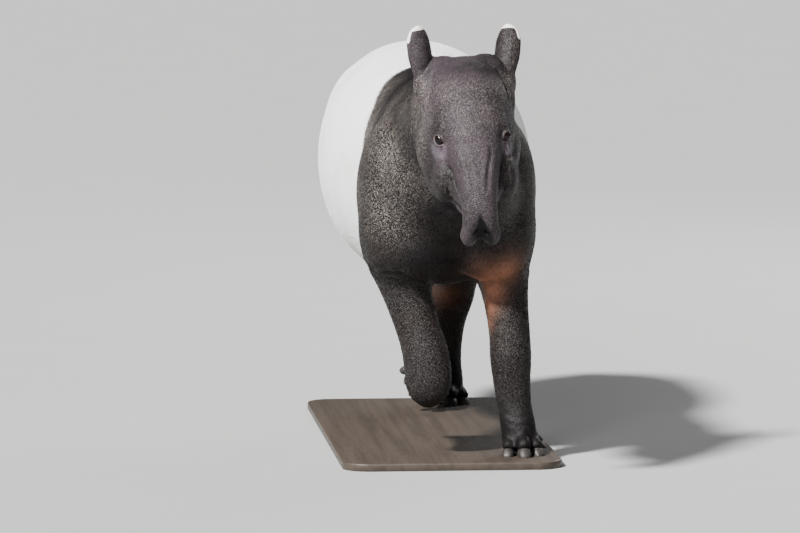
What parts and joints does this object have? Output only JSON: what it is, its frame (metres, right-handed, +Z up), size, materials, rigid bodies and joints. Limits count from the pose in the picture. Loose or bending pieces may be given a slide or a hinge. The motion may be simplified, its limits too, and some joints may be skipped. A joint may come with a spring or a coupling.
{
  "type": "malayan tapir model",
  "caption": "Life-size still model of a walking malayan tapir, head lowered and right feet lifted, on a flat base.",
  "frame": {"origin": "centre of the model's floor rectangle, on the floor under the base", "axes": "+Z up, -Y the way the animal faces, +X its left side"},
  "size_m": [0.5704, 2.016, 1.1546],
  "materials": {
    "dark_coat": "short black-brown coat",
    "white_coat": "short white coat",
    "ear": "dark skin, white rim",
    "eye": "polished dark brown",
    "hoof": "dull horn",
    "stand": "dark satin board"
  },
  "bodies": {
    "root": {"head": "dark_coat", "lower_jaw": "dark_coat", "proboscis": "dark_coat", "neck": "dark_coat", "chest": "dark_coat", "tail": "dark_coat", "upper_arm_left": "dark_coat", "forearm_left": "dark_coat", "forefoot_left": "dark_coat", "upper_arm_right": "dark_coat", "forearm_right": "dark_coat", "forefoot_right": "dark_coat", "thigh_left": "dark_coat", "shank_left": "dark_coat", "hindfoot_left": "dark_coat", "thigh_right": "dark_coat", "shank_right": "dark_coat", "hindfoot_right": "dark_coat", "barrel": "white_coat", "hindquarters": "white_coat", "ear_left": "ear", "ear_right": "ear", "eye_left": "eye", "eye_right": "eye", "hoof_fore_left_1": "hoof", "hoof_fore_left_2": "hoof", "hoof_fore_left_3": "hoof", "hoof_fore_left_4": "hoof", "hoof_fore_right_1": "hoof", "hoof_fore_right_2": "hoof", "hoof_fore_right_3": "hoof", "hoof_fore_right_4": "hoof", "hoof_hind_left_1": "hoof", "hoof_hind_left_2": "hoof", "hoof_hind_left_3": "hoof", "hoof_hind_right_1": "hoof", "hoof_hind_right_2": "hoof", "hoof_hind_right_3": "hoof", "stand_base": "stand"}
  },
  "joints": []
}
